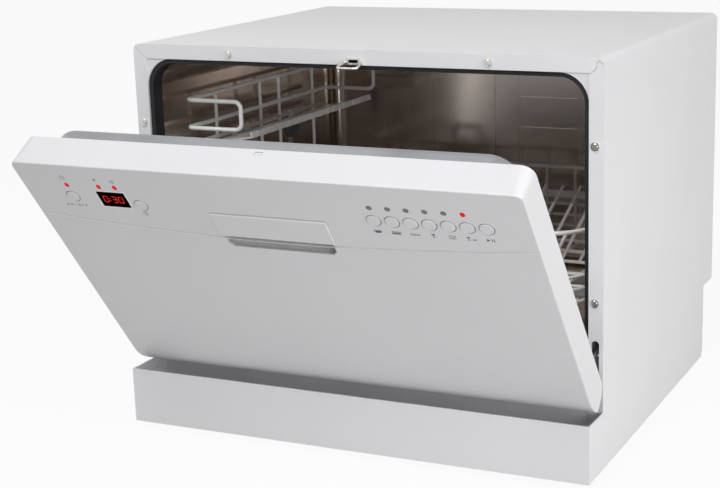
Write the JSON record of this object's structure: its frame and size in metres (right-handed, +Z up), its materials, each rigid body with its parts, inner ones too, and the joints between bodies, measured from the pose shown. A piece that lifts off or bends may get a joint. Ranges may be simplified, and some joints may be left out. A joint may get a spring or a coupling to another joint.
{
  "type": "countertop dishwasher",
  "caption": "Boxy countertop dishwasher with a drop-down front door, button control panel, plinth, steel tub, roll-out rack and spray arm; washes dishes on a worktop.",
  "frame": {"origin": "middle of the footprint of the machine with its door as stored, on the worktop", "axes": "+X right seen from the front, +Y to the back, +Z up"},
  "size_m": [0.55, 0.6874, 0.438],
  "materials": {
    "white_enamel": "smooth satin white paint",
    "white_plastic": "smooth white moulding",
    "stainless_sheet": "drawn stainless sheet",
    "bright_chrome": "polished plated steel",
    "coated_wire": "white nylon coating over steel wire",
    "seal_rubber": "soft black extrusion",
    "zinc_steel": "zinc plated sheet",
    "grey_plastic": "grey moulding",
    "black_plastic": "fine grained black moulding",
    "heater_steel": "drawn tube",
    "valve_plastic": "plain off-white moulding",
    "display_tint": "dark red tinted window",
    "lamp_red": "tinted light guide",
    "board_green": "circuit board laminate"
  },
  "bodies": {
    "cabinet": {"outer_cabinet": "white_enamel", "rear_cover": "zinc_steel", "base_tray": "black_plastic", "plinth": "white_enamel", "tub_front_frame": "white_plastic", "tub": "stainless_sheet", "rack_runners": "stainless_sheet", "tub_gasket": "seal_rubber", "flange_screws": "bright_chrome", "latch_striker": "bright_chrome", "hinge_brackets": "zinc_steel", "hinge_springs": "zinc_steel", "rear_feet": "black_plastic", "sump": "black_plastic", "circulation_pump": "black_plastic", "drain_pump": "black_plastic", "heater": "heater_steel", "water_softener": "valve_plastic", "inlet_valve": "valve_plastic", "drain_spigot": "black_plastic", "cord_gland": "black_plastic", "breather_vent": "white_plastic", "spray_hub": "white_plastic", "filter_plate": "stainless_sheet"},
    "door": {"door_outer_panel": "white_enamel", "door_liner": "stainless_sheet", "handle_cup": "grey_plastic", "display_window": "display_tint", "indicator_lamps": "lamp_red", "control_board": "board_green", "dispenser_body": "grey_plastic", "hinge_arms": "zinc_steel", "latch_housing": "black_plastic"},
    "rack": {"rack_floor": "coated_wire", "rack_rim": "coated_wire", "rack_side_grilles": "coated_wire", "rack_left_frame": "coated_wire", "rack_tines": "coated_wire"},
    "front_left_foot": {"front_left_foot": "black_plastic"},
    "front_right_foot": {"front_right_foot": "black_plastic"},
    "handle_flap": {"handle_flap": "white_plastic"},
    "latch_hook": {"latch_hook": "white_plastic"},
    "power_button": {"power_button": "white_plastic"},
    "delay_button": {"delay_button": "white_plastic"},
    "programme_button_1": {"programme_button_1": "white_plastic"},
    "programme_button_2": {"programme_button_2": "white_plastic"},
    "programme_button_3": {"programme_button_3": "white_plastic"},
    "programme_button_4": {"programme_button_4": "white_plastic"},
    "programme_button_5": {"programme_button_5": "white_plastic"},
    "programme_button_6": {"programme_button_6": "white_plastic"},
    "programme_button_7": {"programme_button_7": "white_plastic"},
    "dispenser_lid": {"dispenser_lid": "grey_plastic"},
    "rinse_aid_cap": {"rinse_aid_cap": "grey_plastic"},
    "front_rollers": {"front_rollers": "coated_wire"},
    "rear_rollers": {"rear_rollers": "coated_wire"},
    "cup_shelf": {"cup_shelf": "coated_wire"},
    "cutlery_basket": {"cutlery_basket": "white_plastic"},
    "spray_arm": {"spray_arm": "grey_plastic"},
    "filter_cylinder": {"filter_cylinder": "grey_plastic"},
    "salt_cap": {"salt_cap": "white_plastic"}
  },
  "joints": [
    {"name": "door_hinge", "type": "hinge", "parent": "cabinet", "child": "door", "pos_m": [0, -0.14432, 0.102], "axis": [1, 0, 0], "range_deg": [-37, 53], "deforming": ["hinge_springs"]},
    {"name": "rack_slide", "type": "slide", "parent": "cabinet", "child": "rack", "axis": [0, -1, 0], "range_m": [-0.049, 0.07]},
    {"name": "front_roller_turn", "type": "hinge", "parent": "rack", "child": "front_rollers", "pos_m": [0, 0.00368, 0.1593], "axis": [1, 0, 0], "range_deg": [-215, 307]},
    {"name": "rear_roller_turn", "type": "hinge", "parent": "rack", "child": "rear_rollers", "pos_m": [0, 0.22568, 0.1593], "axis": [1, 0, 0], "range_deg": [-215, 307]},
    {"name": "handle_flap_pull", "type": "hinge", "parent": "door", "child": "handle_flap", "pos_m": [0, -0.30512, 0.30075], "axis": [-1, 0, 0], "range_deg": [0, 8], "stiffness_Nm_per_rad": 0.6},
    {"name": "latch_hook_lift", "type": "slide", "parent": "door", "child": "latch_hook", "axis": [0, -0.6018, 0.7986], "range_m": [0, 0.0085]},
    {"name": "power_button_press", "type": "slide", "parent": "door", "child": "power_button", "axis": [0, 0.7986, 0.6018], "range_m": [0, 0.0012], "stiffness_N_per_m": 400},
    {"name": "delay_button_press", "type": "slide", "parent": "door", "child": "delay_button", "axis": [0, 0.7986, 0.6018], "range_m": [0, 0.0012], "stiffness_N_per_m": 400},
    {"name": "programme_button_1_press", "type": "slide", "parent": "door", "child": "programme_button_1", "axis": [0, 0.7986, 0.6018], "range_m": [0, 0.0012], "stiffness_N_per_m": 400},
    {"name": "programme_button_2_press", "type": "slide", "parent": "door", "child": "programme_button_2", "axis": [0, 0.7986, 0.6018], "range_m": [0, 0.0012], "stiffness_N_per_m": 400},
    {"name": "programme_button_3_press", "type": "slide", "parent": "door", "child": "programme_button_3", "axis": [0, 0.7986, 0.6018], "range_m": [0, 0.0012], "stiffness_N_per_m": 400},
    {"name": "programme_button_4_press", "type": "slide", "parent": "door", "child": "programme_button_4", "axis": [0, 0.7986, 0.6018], "range_m": [0, 0.0012], "stiffness_N_per_m": 400},
    {"name": "programme_button_5_press", "type": "slide", "parent": "door", "child": "programme_button_5", "axis": [0, 0.7986, 0.6018], "range_m": [0, 0.0012], "stiffness_N_per_m": 400},
    {"name": "programme_button_6_press", "type": "slide", "parent": "door", "child": "programme_button_6", "axis": [0, 0.7986, 0.6018], "range_m": [0, 0.0012], "stiffness_N_per_m": 400},
    {"name": "programme_button_7_press", "type": "slide", "parent": "door", "child": "programme_button_7", "axis": [0, 0.7986, 0.6018], "range_m": [0, 0.0012], "stiffness_N_per_m": 400},
    {"name": "dispenser_lid_flip", "type": "hinge", "parent": "door", "child": "dispenser_lid", "pos_m": [-0.02, -0.18344, 0.23217], "axis": [-1, 0, 0], "range_deg": [0, 100]},
    {"name": "rinse_aid_cap_turn", "type": "hinge", "parent": "door", "child": "rinse_aid_cap", "pos_m": [0.04, -0.20688, 0.25896], "axis": [0, 0.7986, 0.6018], "range_deg": [0, 90]},
    {"name": "cup_shelf_fold", "type": "hinge", "parent": "rack", "child": "cup_shelf", "pos_m": [-0.236, 0.09168, 0.318], "axis": [0, -1, 0], "range_deg": [0, 75]},
    {"name": "cutlery_basket_lift", "type": "slide", "parent": "rack", "child": "cutlery_basket", "axis": [0, 0, 1], "range_m": [0, 0.1]},
    {"name": "spray_arm_spin", "type": "hinge", "parent": "cabinet", "child": "spray_arm", "pos_m": [0, 0.11918, 0.135], "axis": [0, 0, 1], "continuous": true},
    {"name": "filter_turn", "type": "hinge", "parent": "cabinet", "child": "filter_cylinder", "pos_m": [0.062, 0.07118, 0.102], "axis": [0, 0, 1], "range_deg": [0, 90]},
    {"name": "salt_cap_turn", "type": "hinge", "parent": "cabinet", "child": "salt_cap", "pos_m": [-0.165, -0.00932, 0.1113], "axis": [0, 0, 1], "range_deg": [0, 90]},
    {"name": "front_left_foot_screw", "type": "slide", "parent": "cabinet", "child": "front_left_foot", "axis": [0, 0, 1], "range_m": [-0.008, 0]},
    {"name": "front_right_foot_screw", "type": "slide", "parent": "cabinet", "child": "front_right_foot", "axis": [0, 0, 1], "range_m": [-0.008, 0]}
  ],
  "couplings": [
    {"joint": "rack_slide", "follows": "door_hinge", "m_per_rad": 0.075},
    {"joint": "front_roller_turn", "follows": "door_hinge", "ratio": 5.7692},
    {"joint": "rear_roller_turn", "follows": "door_hinge", "ratio": 5.7692}
  ]
}
